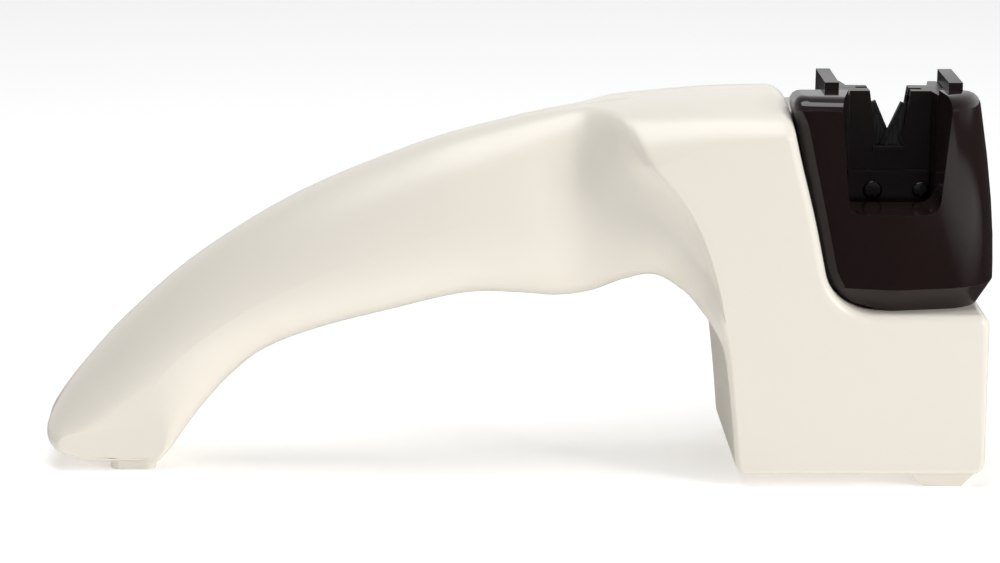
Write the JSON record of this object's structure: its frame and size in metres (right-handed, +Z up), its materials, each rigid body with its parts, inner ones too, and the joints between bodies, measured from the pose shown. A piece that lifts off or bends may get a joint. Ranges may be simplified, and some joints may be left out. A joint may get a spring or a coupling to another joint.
{
  "type": "knife sharpener",
  "caption": "Hand held pull-through knife sharpener: an arched cream handle on two feet, and a dark head with a guarded slot where two sprung arms hold crossed abrasive strips in a V.",
  "frame": {"origin": "middle of the object's box in X and Y, on the table", "axes": "+X from the tip of the handle to the head, -Y the near side of the picture, +Z up"},
  "size_m": [0.189, 0.044, 0.0791],
  "materials": {
    "cream_plastic": "satin",
    "soft_feet": "matte",
    "dark_gloss": "gloss",
    "dark_matte": "matte",
    "dark_steel": "brushed",
    "abrasive": "matte",
    "bright_steel": "satin"
  },
  "bodies": {
    "frame_body": {"front_shell": "cream_plastic", "rear_shell": "cream_plastic", "handle_foot": "soft_feet", "base_foot": "soft_feet", "shell_screws": "bright_steel", "head_housing": "dark_gloss", "head_base": "dark_matte", "head_screws": "bright_steel", "cartridge_front": "dark_matte", "cartridge_rear": "dark_matte", "cartridge_screws": "bright_steel", "right_pivot_pin": "bright_steel", "left_pivot_pin": "bright_steel", "stop_pins": "bright_steel"},
    "right_swing_arm": {"right_arm": "dark_steel", "right_stone": "abrasive", "right_spring": "bright_steel"},
    "left_swing_arm": {"left_arm": "dark_steel", "left_stone": "abrasive", "left_spring": "bright_steel"}
  },
  "joints": [
    {"name": "right_arm_swing", "type": "hinge", "parent": "frame_body", "child": "right_swing_arm", "pos_m": [0.07031, 0, 0.05677], "axis": [0, 1, 0], "range_deg": [0, 7], "stiffness_Nm_per_rad": 0.05, "springref_deg": -8.59},
    {"name": "left_arm_swing", "type": "hinge", "parent": "frame_body", "child": "left_swing_arm", "pos_m": [0.07659, 0, 0.05677], "axis": [0, -1, 0], "range_deg": [0, 7], "stiffness_Nm_per_rad": 0.05, "springref_deg": -8.59}
  ]
}
